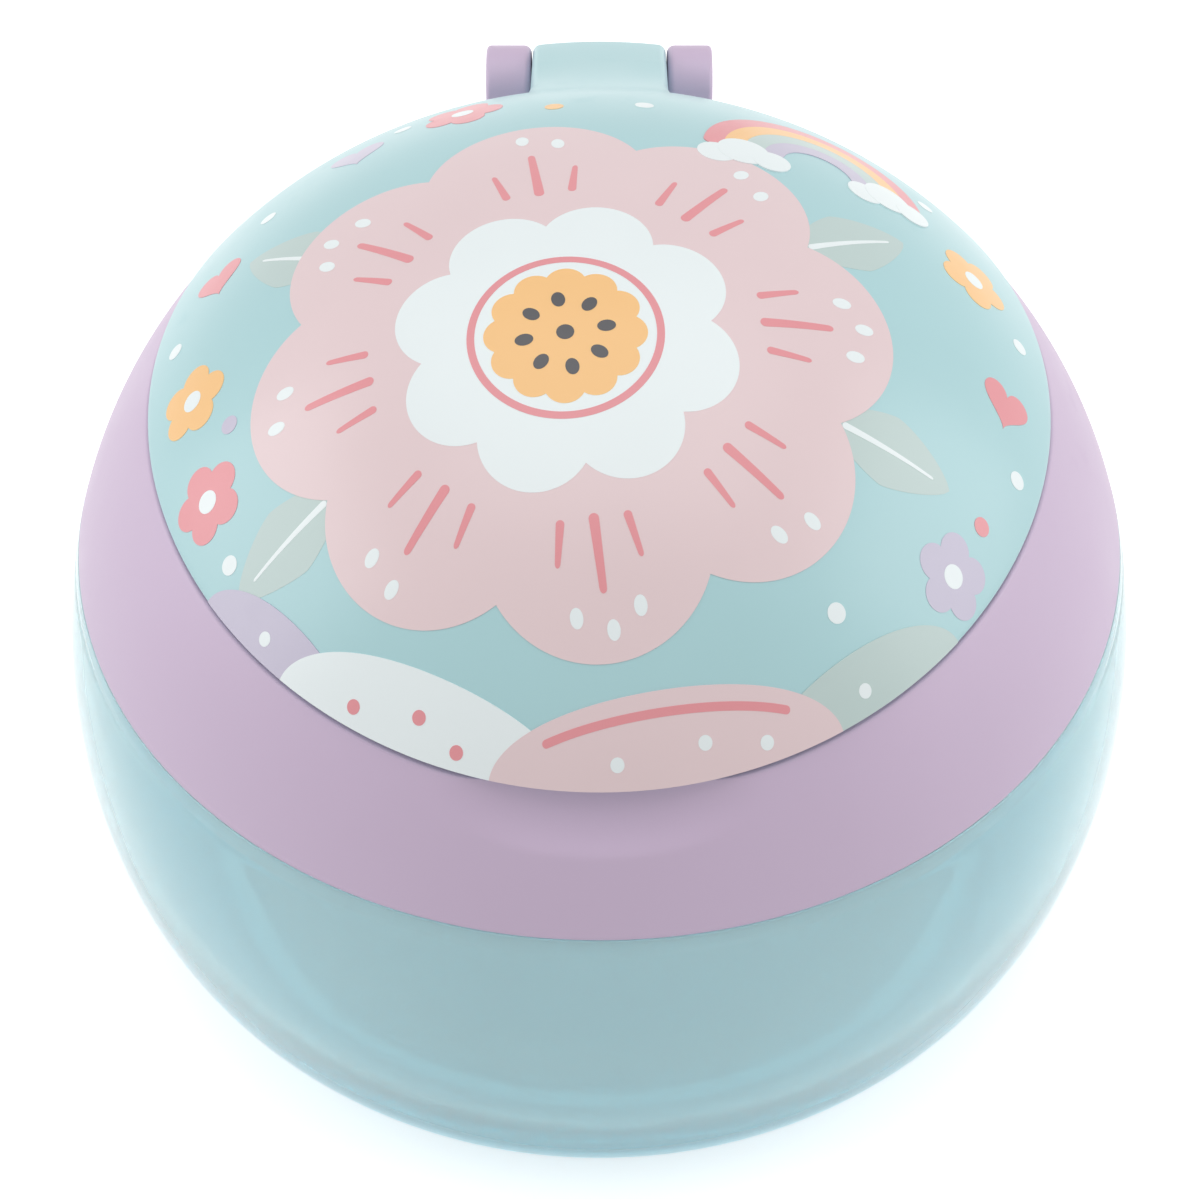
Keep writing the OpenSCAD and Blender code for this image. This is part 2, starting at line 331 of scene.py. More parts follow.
def plastic(name, colour, roughness, grain_mm, grain, scuff=0.06, **sockets):
    """Moulded plastic: a slow drift of tone, uneven gloss with faint scuffs, and a mould's rippled skin."""
    material = bpy.data.materials.new(name)
    material.use_nodes = True
    nodes, links = nodes_of(material)
    shader = nodes["Principled BSDF"]
    place = nodes.new("ShaderNodeTexCoord").outputs["Object"]

    def noise(size_mm, detail):
        node = nodes.new("ShaderNodeTexNoise")
        node.inputs["Scale"].default_value = 1 / (size_mm * MM)
        node.inputs["Detail"].default_value = detail
        links.new(place, node.inputs["Vector"])
        return node.outputs["Fac"]

    def mapped(source, low_value, high_value, start=0.3, end=0.7):
        node = nodes.new("ShaderNodeMapRange")
        node.inputs["From Min"].default_value = start
        node.inputs["From Max"].default_value = end
        node.inputs["To Min"].default_value = low_value
        node.inputs["To Max"].default_value = high_value
        links.new(source, node.inputs["Value"])
        return node.outputs["Result"]

    tone = nodes.new("ShaderNodeMix")
    tone.data_type = "RGBA"
    tone.inputs["A"].default_value = (*[c * (1 - TONE_DRIFT) for c in colour], 1)
    tone.inputs["B"].default_value = (*[min(1, c * (1 + TONE_DRIFT)) for c in colour], 1)
    links.new(mapped(noise(TONE_MM, 3), 0, 1), tone.inputs["Factor"])
    links.new(tone.outputs["Result"], shader.inputs["Base Color"])
    gloss = nodes.new("ShaderNodeMath")
    gloss.operation = "ADD"
    uneven = mapped(noise(GLOSS_MM, 5), roughness * (1 - GLOSS_DRIFT), roughness * (1 + GLOSS_DRIFT))
    links.new(uneven, gloss.inputs[0])
    links.new(mapped(noise(SCUFF_MM, 8), 0, scuff, SCUFF_FROM, SCUFF_TO), gloss.inputs[1])
    links.new(gloss.outputs[0], shader.inputs["Roughness"])

    bump = nodes.new("ShaderNodeBump")
    bump.inputs["Strength"].default_value = 1
    bump.inputs["Distance"].default_value = grain * MM
    links.new(noise(grain_mm, 4), bump.inputs["Height"])
    links.new(bump.outputs["Normal"], shader.inputs["Normal"])
    for socket, value in sockets.items():
        shader.inputs[socket.replace("_", " ")].default_value = value
    return material


def paint_deep_shade(material, colour, from_z, to_z, from_r, to_r):
    """Paints a plastic's colour deeper downwards and outwards, in the thick ring where wall and floor meet,
    as painted shade for the light lost on its long way through the thick plastic there.
    """
    nodes, links = nodes_of(material)
    base = nodes["Principled BSDF"].inputs["Base Color"]
    place = nodes.new("ShaderNodeTexCoord").outputs["Object"]
    height = nodes.new("ShaderNodeSeparateXYZ")
    links.new(place, height.inputs["Vector"])
    level = nodes.new("ShaderNodeVectorMath")
    level.operation = "MULTIPLY"
    level.inputs[1].default_value = (1, 1, 0)
    links.new(place, level.inputs[0])
    radius = nodes.new("ShaderNodeVectorMath")
    radius.operation = "LENGTH"
    links.new(level.outputs["Vector"], radius.inputs[0])
    both = nodes.new("ShaderNodeMath")
    both.operation = "MULTIPLY"
    for i, (source, start, end) in enumerate(((height.outputs["Z"], from_z, to_z),
                                              (radius.outputs["Value"], from_r, to_r))):
        fade = nodes.new("ShaderNodeMapRange")
        fade.interpolation_type = "SMOOTHSTEP"
        fade.inputs["From Min"].default_value = min(start, end) * MM
        fade.inputs["From Max"].default_value = max(start, end) * MM
        fade.inputs["To Min"].default_value = 0 if start < end else 1
        fade.inputs["To Max"].default_value = 1 if start < end else 0
        links.new(source, fade.inputs["Value"])
        links.new(fade.outputs["Result"], both.inputs[i])
    mix = nodes.new("ShaderNodeMix")
    mix.data_type = "RGBA"
    mix.inputs["B"].default_value = (*colour, 1)
    links.new(base.links[0].from_socket, mix.inputs["A"])
    links.new(both.outputs[0], mix.inputs["Factor"])
    links.new(mix.outputs["Result"], base)


def absorb(material, colour, density):
    """Lets a plastic take more of the light the longer its way through it, so thick edges look deeper."""
    nodes, links = nodes_of(material)
    volume = nodes.new("ShaderNodeVolumeAbsorption")
    volume.inputs["Color"].default_value = (*colour, 1)
    volume.inputs["Density"].default_value = density
    links.new(volume.outputs["Volume"], nodes["Material Output"].inputs["Volume"])


def srgb(*rgb):
    """Linear colour from 0-255 screen values."""
    return [c / 255 / 12.92 if c <= 10 else ((c / 255 + 0.055) / 1.055) ** 2.4 for c in rgb]


LID_BLUE = plastic("lid_blue", srgb(171, 209, 213), 0.3, grain_mm=2.5, grain=0.004)
COLLAR_LILAC = plastic("collar_lilac", srgb(200, 180, 205), 0.42, grain_mm=0.5, grain=0.006)
INSERT_LILAC = plastic("insert_lilac", srgb(206, 190, 214), 0.55, grain_mm=0.35, grain=0.012,
                       Subsurface_Weight=0.15)
BOWL_BLUE = plastic("bowl_clear_blue", srgb(219, 242, 246), 0.06, grain_mm=6, grain=0.002, scuff=0.04,
                    Transmission_Weight=0.6, IOR=1.36, Specular_IOR_Level=0.2, Coat_Weight=0.15)
# Painted shade: the bowl's foot ring is painted a deeper, darker cyan for light lost in its thick base; the
# plastic itself is one tint.
paint_deep_shade(BOWL_BLUE, srgb(124, 223, 240), 18, 7, 36, 44)
absorb(BOWL_BLUE, (0.04, 0.86, 0.92), 50)
PIN_STEEL = plastic("pin_steel", srgb(190, 192, 196), 0.36, grain_mm=0.2, grain=0.004, Metallic=1.0)


def dress(piece, material, body):
    """Gives a finished piece its material, and puts it on its body."""
    piece.data.materials.clear()
    piece.data.materials.append(material)
    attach(piece, body)
    return piece


# ---------------------------------------------------------------- bowl

THREAD_STARTS = 3
THREAD_SPAN = math.radians(104)
THREAD_FADE = math.radians(7)
THREAD_LEAD = 6.0
THREAD_Z = 46.9
THREAD_W = 1.2
THREAD_FLANK = 0.55
THREAD_RIDGE = 0.85
THREAD_GROOVE = 0.5


def thread_height(angle, z):
    """Share of the full height that a screw thread has at a place on the neck."""
    share = np.zeros_like(z)
    for start in range(THREAD_STARTS):
        along = (angle - start * TURN / THREAD_STARTS) % TURN
        if along > THREAD_SPAN:
            continue
        middle = THREAD_Z + THREAD_LEAD * along / TURN
        ridge = ease((THREAD_W / 2 + THREAD_FLANK - np.abs(z - middle)) / THREAD_FLANK)
        ends = ease(min(along, THREAD_SPAN - along) / THREAD_FADE)
        share = np.maximum(share, ridge * ends)
    return share


def make_bowl():
    """The see-through bowl, from the middle of its underside out, up over the neck and down inside."""
    foot_in_r = FOOT_R - FOOT_W
    throat_r = NECK_R - BOWL_WALL
    shoulder_in_z = SHOULDER_Z - BOWL_WALL
    gate_z = FOOT_RECESS - FOOT_GATE_DEPTH
    under = rounded([(0, gate_z), (GATE_R, gate_z), (GATE_R + GATE_EDGE, FOOT_RECESS),
                     (foot_in_r, FOOT_RECESS), (foot_in_r + FOOT_RECESS, 0), (FOOT_R - FOOT_EDGE, 0)],
                    [0, 0.1, 0.1, 0.5, 0.5, 0])
    line_foot_z = SHOULDER_LINE_Z - 4 * SHOULDER_LINE_W
    upper = crown_curve(line_foot_z, SHOULDER_Z - SHOULDER_EDGE_R, 30)
    upper[:, 0] -= SHOULDER_LINE_DEPTH * np.exp(-((upper[:, 1] - SHOULDER_LINE_Z) / SHOULDER_LINE_W) ** 2)
    lower = keel_curve(90, 0, 48)
    outer = np.concatenate([lower[1:], crown_curve(BELLY_Z, line_foot_z, 20)[1:], upper[1:]])
    shoulder_r = crown_r(SHOULDER_Z - SHOULDER_EDGE_R)
    edge = np.array([(shoulder_r + SHOULDER_EDGE_R * (math.cos(a) - 1),
                      SHOULDER_Z + SHOULDER_EDGE_R * (math.sin(a) - 1))
                     for a in np.linspace(0, QUARTER, 9)[1:]])
    neck_z = np.linspace(SHOULDER_Z + 0.6, NECK_TOP_Z - 0.8, 54)
    foot_of_neck = rounded([(NECK_R + 2, SHOULDER_Z), (NECK_R, SHOULDER_Z), (NECK_R, neck_z[0])], [0, 0.5, 0])
    rim = rounded([(NECK_R, neck_z[-1]), (NECK_R, NECK_TOP_Z), (throat_r, NECK_TOP_Z),
                   (throat_r, NECK_TOP_Z - 1.2)], [0, 0.6, 0.6, 0])[1:]
    inner_wall = crown_curve(shoulder_in_z, BELLY_Z, 24, BOWL_WALL, BOWL_WALL)
    inner = np.concatenate([
        rounded([(throat_r, NECK_TOP_Z - 2), (throat_r, shoulder_in_z), inner_wall[0], inner_wall[7]],
                [0, 0.8, 0.9, 0], steps=9)[:-1],
        inner_wall[7:],
        keel_curve(0, 90, 40, BOWL_WALL, FLOOR_Z)[1:],
        [(0, FLOOR_Z)]])

    def profile(angle):
        neck = np.column_stack([NECK_R + THREAD_RIDGE * thread_height(angle, neck_z), neck_z])
        return np.concatenate([under, outer, edge, foot_of_neck[1:-1], neck, rim, inner])

    bowl = turned("bowl_shell", profile, closed=False)
    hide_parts("bowl")
    return dress(bowl, BOWL_BLUE, "bowl")


# ---------------------------------------------------------------- collar

# The finger recess is a round scoop under the front of the rim, square to the crown there.
RECESS_R = (RECESS_DROP ** 2 + RECESS_DEPTH ** 2) / (2 * RECESS_DEPTH)
RECESS_TILT = math.atan2(crown_r(RIM_FRONT_Z - RECESS_DROP) - crown_r(RIM_FRONT_Z), RECESS_DROP)
RECESS_Y = -crown_r(RIM_FRONT_Z) - (RECESS_R - RECESS_DEPTH) * math.cos(RECESS_TILT)
RECESS_Z = RIM_FRONT_Z + (RECESS_R - RECESS_DEPTH) * math.sin(RECESS_TILT)


def scooped(angle, profile, last):
    """The collar's profile with the finger recess pressed into its outside, the points before last."""
    if math.sin(angle) > -0.5:
        return profile
    out = profile.copy()
    for i in range(last):
        r, z = profile[i]
        dz = z - RECESS_Z
        if abs(dz) >= RECESS_R:
            continue
        wall_y = RECESS_Y + math.sqrt(RECESS_R ** 2 - dz * dz)
        out[i, 0] = -soft_max(-wall_y / math.sin(angle), -r, 0.5)
    return out


def make_collar():
    """The screw-on collar with its deck, threaded skirt, finger recess and the two hinge lugs."""
    outer_foot = crown_r(COLLAR_FOOT_Z + COLLAR_EDGE_R)
    foot_edge = np.array([(outer_foot + COLLAR_EDGE_R * (math.cos(a) - 1),
                           COLLAR_FOOT_Z + COLLAR_EDGE_R * (math.sin(a) + 1))
                          for a in np.linspace(-QUARTER, 0, 9)])
    bore_z = np.linspace(DECK_UNDER_Z - 0.9, COLLAR_FOOT_Z + 0.5, 44)
    deck = rounded([(RIM_IN_R, DECK_TOP_Z + 1.5), (RIM_IN_R, DECK_TOP_Z), (MOUTH_R, DECK_TOP_Z),
                    (MOUTH_R, DECK_UNDER_Z), (BORE_R, DECK_UNDER_Z), (BORE_R, bore_z[0])],
                   [0, 0.7, 0.99, 0.99, 0.5, 0], steps=8)
    skirt = rounded([(BORE_R, bore_z[-1]), (BORE_R, COLLAR_FOOT_Z), (SKIRT_R, COLLAR_FOOT_Z),
                     (SKIRT_R, CORE_Z), (crown_r(CORE_Z, COLLAR_WALL), CORE_Z),
                     (crown_r(COLLAR_FOOT_Z, COLLAR_WALL), COLLAR_FOOT_Z),
                     (outer_foot - COLLAR_EDGE_R, COLLAR_FOOT_Z)],
                    [0, 0.3, 0.3, 0.4, 0.4, 0.3, 0], steps=4)[1:-1]

    def profile(angle):
        r, z = rim_point(angle, 0)
        outer = crown_curve(COLLAR_FOOT_Z + COLLAR_EDGE_R, z - 0.7, 44)[1:]
        top_z = valley_z(RIM_IN_R * math.cos(angle))
        top = rounded([outer[-1], (r, z), (RIM_IN_R, top_z), (RIM_IN_R, DECK_TOP_Z + 1.5)],
                      [0, 0.45, 0.5, 0])[1:-1]
        bore = np.column_stack([BORE_R + THREAD_GROOVE * thread_height(angle, bore_z), bore_z])
        whole = np.concatenate([foot_edge, outer, top, deck[:-1], bore, skirt])
        return scooped(angle, whole, len(foot_edge) + len(outer) + 6)

    ring = turned("collar_ring", profile)
    lugs = [make_lug(side) for side in (-1, 1)]
    collar = join("collar_shell", [ring, *lugs])
    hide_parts("collar")
    return dress(collar, COLLAR_LILAC, "collar")


def knuckle_section(hole_r, half, corner_low, corner_high):
    """Half section (r, x) of a hinge knuckle from its hole at one end to its hole at the other."""
    bend = np.linspace(0, QUARTER, 9)
    section = [(hole_r, -half + HOLE_EDGE), (hole_r + HOLE_EDGE, -half)]
    section += [(BARREL_R - corner_low + corner_low * math.sin(a),
                 -half + corner_low - corner_low * math.cos(a)) for a in bend]
    section += [(BARREL_R, x) for x in np.linspace(-half + corner_low, half - corner_high, 14)[1:-1]]
    section += [(BARREL_R - corner_high + corner_high * math.cos(a),
                 half - corner_high + corner_high * math.sin(a)) for a in bend]
    return section + [(hole_r + HOLE_EDGE, half), (hole_r, half - HOLE_EDGE)]


def make_lug(side):
    """Hinge lug: a capsule outline with rounded ends, and the pin's hole through it."""
    foot_y = crown_r(LUG_FOOT_Z) - BARREL_R + LUG_PROUD
    tilt = math.atan2(HINGE_Z - LUG_FOOT_Z, HINGE_Y - foot_y)
    hole_r = PIN_R + PIN_PLAY_LUG
    corners = (KNUCKLE_IN_R, KNUCKLE_OUT_R)
    section = knuckle_section(hole_r, LUG_W / 2, *corners[::side])
    rings = []
    for i in range(KNUCKLE_STEPS):
        a = i / KNUCKLE_STEPS * TURN
        direction = np.array([math.cos(a + tilt), math.sin(a + tilt)])
        for r, x in section:
            at_foot = r > hole_r + 0.2 and math.cos(a) < 0
            end = np.array([foot_y, LUG_FOOT_Z] if at_foot else [HINGE_Y, HINGE_Z])
            y, z = end + direction * r
            rings.append((side * (BARREL_W / 2 + LUG_GAP + LUG_W / 2) + x, y, z))
    return mesh_piece("lug", rings, grid_faces(KNUCKLE_STEPS, len(section), True, True))


# ---------------------------------------------------------------- lid

def make_lid_shell():
    """The dome, from its top down the outside, round its edge, and up the inside to a small gate mark."""
    top = TOTAL_H - LID_WALL
    gate_r = GATE_R + GATE_EDGE
    gate = rounded([(gate_r, top), (gate_r, top - GATE_EDGE), (GATE_R, top - GATE_EDGE),
                    (GATE_R - 0.1, top - LID_GATE_DEPTH), (0, top - LID_GATE_DEPTH)],
                   [0, 0.1, 0.1, 0.1, 0])

    def profile(angle):
        r, z = rim_point(angle, RUN_GAP, -LID_LIP)
        outer = crown_curve(TOTAL_H, z + 0.8, 84, -LID_LIP)
        in_dr, in_dz = LID_WALL - LID_LIP, LID_WALL
        in_r, in_z = rim_point(angle, RUN_GAP, in_dr, in_dz)
        inner = crown_curve(in_z + 0.6, TOTAL_H - in_dz, 60, in_dr, in_dz)
        inner = np.concatenate([inner[inner[:, 0] > GATE_R + 0.5], gate])
        edge = rounded([outer[-1], (r, z), (in_r, in_z), inner[0]], [0, 0.36, 0.25, 0], steps=6)[1:-1]
        return np.concatenate([outer, edge, inner])

    return turned("lid_shell", profile, closed=False)


def make_lap_ring():
    """The ring inside the lid that reaches down into the collar's rim, along the same valley."""
    in_r = LAP_R - LAP_T
    mid_dr, mid_dz = LID_WALL / 2 - LID_LIP, LID_WALL / 2

    def profile(angle):
        low_out = valley_z(LAP_R * math.cos(angle), -LAP_DEPTH)
        low_in = valley_z(in_r * math.cos(angle), -LAP_DEPTH)
        return rounded([(in_r, crown_z(in_r, mid_dr, mid_dz)), (in_r, low_in), (LAP_R, low_out),
                        (LAP_R, crown_z(LAP_R, mid_dr, mid_dz))], [0, 0.35, 0.5, 0], closed=True)

    return turned("lid_lap_ring", profile)


CROWN_AT = math.radians(67)
CROWN_END = math.radians(127)


def make_barrel():
    """Lid's barrel round the pin, crowned at its top, with its back flush with the bowl's widest circle."""
    half = BARREL_W / 2
    section = knuckle_section(PIN_R + PIN_PLAY_BARREL, half, KNUCKLE_IN_R, KNUCKLE_IN_R)
    rings = []
    for i in range(KNUCKLE_STEPS):
        a = i / KNUCKLE_STEPS * TURN
        lift = BARREL_CROWN * max(0, math.cos((a - CROWN_AT) * 1.5)) ** 2 if a < CROWN_END else 0
        for r, x in section:
            r += lift * (1 - (x / half) ** 2) * ease((r - PIN_R - 0.5) / 1.5)
            y = HINGE_Y + r * math.cos(a)
            rings.append((x, min(y, math.sqrt(BELLY_R ** 2 - x * x)), HINGE_Z + r * math.sin(a)))
    return mesh_piece("lid_barrel", rings, grid_faces(KNUCKLE_STEPS, len(section), True, True))


BRIDGE_STATIONS = 56
BRIDGE_FLARE = 1.2
BRIDGE_FLARE_END = 45.6
BRIDGE_ROOT = 1.2


def smooth_run(t, span, start, start_slope, end, end_slope):
    """Height and slope at a share t of a smooth curve between two heights that are met at given slopes."""
    height = ((2 * t ** 3 - 3 * t ** 2 + 1) * start + (t ** 3 - 2 * t ** 2 + t) * span * start_slope
              + (3 * t ** 2 - 2 * t ** 3) * end + (t ** 3 - t ** 2) * span * end_slope)
    slope = ((6 * t ** 2 - 6 * t) * start + (3 * t ** 2 - 4 * t + 1) * span * start_slope
             + (6 * t - 6 * t ** 2) * end + (3 * t ** 2 - 2 * t) * span * end_slope) / span
    return height, slope


def bridge_section(y, top_z, slope, follow):
    """Closed outline of the bridge at one place. follow is 1 where its roof keeps the dome's curve."""
    half = BARREL_W / 2
    lean = math.atan(slope)

    def dome(x):
        return max(crown_z(min(math.hypot(x, y), BELLY_R), -LID_LIP), RIM_FRONT_Z + RUN_GAP + 0.05)

    def roof(x):
        return top_z + (dome(x) - dome(0)) * follow - BARREL_CROWN * (x / half) ** 2 * (1 - follow)

    rise = roof(half) - dome(half)
    corner = min(KNUCKLE_IN_R, 0.6 * rise) if rise > 0 else 0
    flare = min(BRIDGE_FLARE, 0.45 * rise) * ease((BRIDGE_FLARE_END - y) / 2) if rise > 0 else 0
    side = [(half + flare * (1 - math.sin(a)), flare * (1 - math.cos(a)) - 0.02)
            for a in np.linspace(0, QUARTER, 7)]
    left = [(-x, y, dome(x) + lift) for x, lift in side]
    wall_top = roof(half) - corner * math.cos(lean)
    foot = left[-1][2]
    left += [(-half, y, foot + (wall_top - foot) * k / 5) for k in range(1, 5)]
    for a in np.linspace(0, QUARTER, 8):
        x = half - corner + corner * math.cos(a)
        drop = corner * (1 - math.sin(a))
        left.append((-x, y + drop * math.sin(lean), roof(x) - drop * math.cos(lean)))
    inner = half - corner
    top = [(x, y, roof(x)) for x in np.linspace(-inner, inner, 15)[1:-1]]
    right = [(-x, yy, z) for x, yy, z in reversed(left)]
    root_z = dome(half) - BRIDGE_ROOT
    return left + top + right + [(half, y, root_z), (-half, y, root_z)]


def make_bridge():
    """Web that leaves the dome without a crease and runs flush onto the barrel."""
    start_z = crown_z(BRIDGE_Y, -LID_LIP)
    start_slope = (crown_z(BRIDGE_Y + 0.1, -LID_LIP) - crown_z(BRIDGE_Y - 0.1, -LID_LIP)) / 0.2
    end_y = HINGE_Y + (BARREL_R + BARREL_CROWN) * math.sin(-BRIDGE_SLOPE)
    end_z = HINGE_Z + (BARREL_R + BARREL_CROWN) * math.cos(BRIDGE_SLOPE)
    span = end_y - BRIDGE_Y
    rings = []
    for i in range(BRIDGE_STATIONS):
        t = i / (BRIDGE_STATIONS - 1)
        top_z, slope = smooth_run(t, span, start_z, start_slope, end_z, math.tan(BRIDGE_SLOPE))
        rings.append(bridge_section(BRIDGE_Y + span * t, top_z, slope, 1 - ease(t / 0.75)))
    count = len(rings[0])
    faces = grid_faces(BRIDGE_STATIONS, count, False, True)
    faces.append(tuple(range(count)))
    faces.append(tuple(range((BRIDGE_STATIONS - 1) * count, BRIDGE_STATIONS * count)))
    return mesh_piece("lid_bridge", np.concatenate(rings), faces)


def make_lid():
    """The whole lid but its print: dome, lap ring, hinge barrel and the bridge between them."""
    lid = join("lid_dome", [make_lid_shell(), make_lap_ring(), make_barrel(), make_bridge()])
    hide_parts("lid")
    return dress(lid, LID_BLUE, "lid")


# ---------------------------------------------------------------- print on the lid

# The ink stands INK_LIFT off the lid and INK_STEP more with each layer, and is rooted below its surface.
INK_LIFT = 0.02
INK_STEP = 0.018
INK_ROOT = -0.15
INK_MARGIN = 0.42
INK_CELL = 1.3
LEAF_FULLNESS = 1.35
INKS = {"pink": (226, 204, 206), "white": (232, 240, 241), "rose": (226, 148, 154),
        "orange": (244, 195, 132), "teal": (188, 206, 203), "lavender": (196, 190, 209),
        "dark": (78, 78, 82)}
DOME = crown_curve(TOTAL_H, RIM_FRONT_Z - 1.5, 3000, -LID_LIP)
DOME_RUN = np.concatenate([[0], np.cumsum(np.hypot(*np.diff(DOME, axis=0).T))])
DOME_SLOPE = np.gradient(DOME, axis=0)
DOME_NORMAL = np.column_stack([-DOME_SLOPE[:, 1], DOME_SLOPE[:, 0]])
DOME_NORMAL /= np.linalg.norm(DOME_NORMAL, axis=1)[:, None]


def on_dome(flat, lift):
    """Points lifted off the lid from flat (u, v): u to the right, v to the back, both along the dome."""
    flat = np.asarray(flat, float)
    run = np.hypot(flat[..., 0], flat[..., 1])
    r = np.interp(run, DOME_RUN, DOME[:, 0]) + lift * np.interp(run, DOME_RUN, DOME_NORMAL[:, 0])
    z = np.interp(run, DOME_RUN, DOME[:, 1]) + lift * np.interp(run, DOME_RUN, DOME_NORMAL[:, 1])
    share = r / np.maximum(run, 1e-9)
    return np.stack([flat[..., 0] * share, flat[..., 1] * share, z], axis=-1)


def rim_run(angle):
    """Distance along the dome from its top to just inside the lid's edge."""
    z = rim_point(angle, RUN_GAP, -LID_LIP)[1]
    return float(np.interp(-z, -DOME[:, 1], DOME_RUN)) - INK_MARGIN


def patch(outline, centre, layer):
    """A thin closed shell on the dome that fills an outline seen whole from its centre."""
    outline, centre = np.asarray(outline), np.asarray(centre)
    reach = np.linalg.norm(outline - centre, axis=1).max()
    shares = np.linspace(0, 1, max(3, math.ceil(reach / INK_CELL)) + 1)
    rings = centre + (outline - centre)[None] * shares[:, None, None]
    rows = np.concatenate([on_dome(rings, INK_LIFT + INK_STEP * layer), on_dome(rings[::-1], INK_ROOT)])
    return rows.reshape(-1, 3), grid_faces(len(rows), rows.shape[1], False, True)


def strip(left, right, layer, closed=False):
    """A thin closed shell on the dome between two edges, given as lists of points of one length."""
    left, right = np.asarray(left), np.asarray(right)
    count = max(2, math.ceil(np.linalg.norm(right - left, axis=1).max() / INK_CELL)) + 1
    shares = np.linspace(0, 1, count)[None, :, None]
    across = left[:, None] * (1 - shares) + right[:, None] * shares
    over, under = on_dome(across, INK_LIFT + INK_STEP * layer), on_dome(across[:, ::-1], INK_ROOT)
    rows = np.concatenate([over, under], axis=1)
    return rows.reshape(-1, 3), grid_faces(len(rows), rows.shape[1], closed, True)


def line(path, width, layer, taper=0.0):
    """A drawn line with round ends along a path. A taper of 1 narrows it to nothing at its far end."""
    path = np.asarray(path, float)
    run = np.concatenate([[0], np.cumsum(np.linalg.norm(np.diff(path, axis=0), axis=1))])
    length, half = run[-1], width / 2
    cap = half * (1 - np.cos(np.linspace(0, QUARTER, 6)))
    s = np.concatenate([cap, np.linspace(half, length - half, max(3, math.ceil(length / 0.8)))[1:-1],
                        length - cap[::-1]])
    points = np.column_stack([np.interp(s, run, path[:, k]) for k in (0, 1)])
    slope = np.gradient(points, s, axis=0)
    slope /= np.linalg.norm(slope, axis=1)[:, None]
    sideways = np.column_stack([-slope[:, 1], slope[:, 0]])
    to_end = np.minimum(s, length - s).clip(0, half)
    wide = np.sqrt(half ** 2 - (half - to_end) ** 2) * (1 - taper * s / length)
    return strip(points + sideways * wide[:, None], points - sideways * wide[:, None], layer)


def placed(x, y, degrees, place):
    """Flat points turned by an angle in degrees and moved to a place."""
    cos, sin = math.cos(math.radians(degrees)), math.sin(math.radians(degrees))
    return np.column_stack([x * cos - y * sin, x * sin + y * cos]) + np.asarray(place)


def polar(radius_at, centre, turn=0.0, steps=72, stretch=1.0):
    """Outline points round a centre. radius_at takes the angle, turn is in degrees, stretch lengthens it."""
    angles = np.arange(steps) / steps * TURN
    radius = np.array([radius_at(a) for a in angles])
    return placed(radius * np.cos(angles) * stretch, radius * np.sin(angles), turn, centre)


def dot(place, radius, layer, steps=24, turn=0.0, stretch=1.0):
    """A filled round dot, or an oval one where it is stretched."""
    return patch(polar(lambda a: radius, place, turn, steps, stretch), place, layer)


def petals(count, out, q):
    """Radius of a flower with round petals of radius q, whose middles lie at a distance from its centre."""
    def radius_at(angle):
        off = (angle + math.pi / count) % (TURN / count) - math.pi / count
        return out * math.cos(off) + math.sqrt(max(q * q - (out * math.sin(off)) ** 2, 0))
    return radius_at


def heart(place, size, turn):
    """Outline points of a heart, upright before it is turned, with half its width as its size."""
    t = np.linspace(0, TURN, 97)[:-1]
    y = size / 16 * (13 * np.cos(t) - 5 * np.cos(2 * t) - 2 * np.cos(3 * t) - np.cos(4 * t))
    return placed(size * np.sin(t) ** 3, y, turn, place)


def leaf(length, width):
    """Radius of a leaf with a point at each end. A LEAF_FULLNESS of 2 would make it an ellipse."""
    def radius_at(angle):
        along, across = abs(math.cos(angle)) / (length / 2), abs(math.sin(angle)) / (width / 2)
        return 1 / (along ** LEAF_FULLNESS + across ** LEAF_FULLNESS) ** (1 / LEAF_FULLNESS)
    return radius_at


def around(centre, radius, degrees):
    """The flat point at a distance from a centre, in a direction in degrees."""
    a = math.radians(degrees)
    return np.array([centre[0] + radius * math.cos(a), centre[1] + radius * math.sin(a)])


def on_hill(middle, half_width, height, k, below=0.0):
    """A point on a hill's top line, or below it, with k from -1 to 1 across it. Angles in degrees."""
    angle = math.radians(middle + half_width * k)
    run = rim_run(angle) - height * (1 - k * k) ** 0.55 + below
    return np.array([math.cos(angle), math.sin(angle)]) * run


def hill(middle, half_width, height, layer):
    """A round hill that stands on the lid's front edge."""
    across = np.sin(np.linspace(-QUARTER, QUARTER, 60))
    top = [on_hill(middle, half_width, height, k) for k in across]
    edge = [on_hill(middle, half_width, 0, k) for k in across]
    return strip(top, edge, layer)


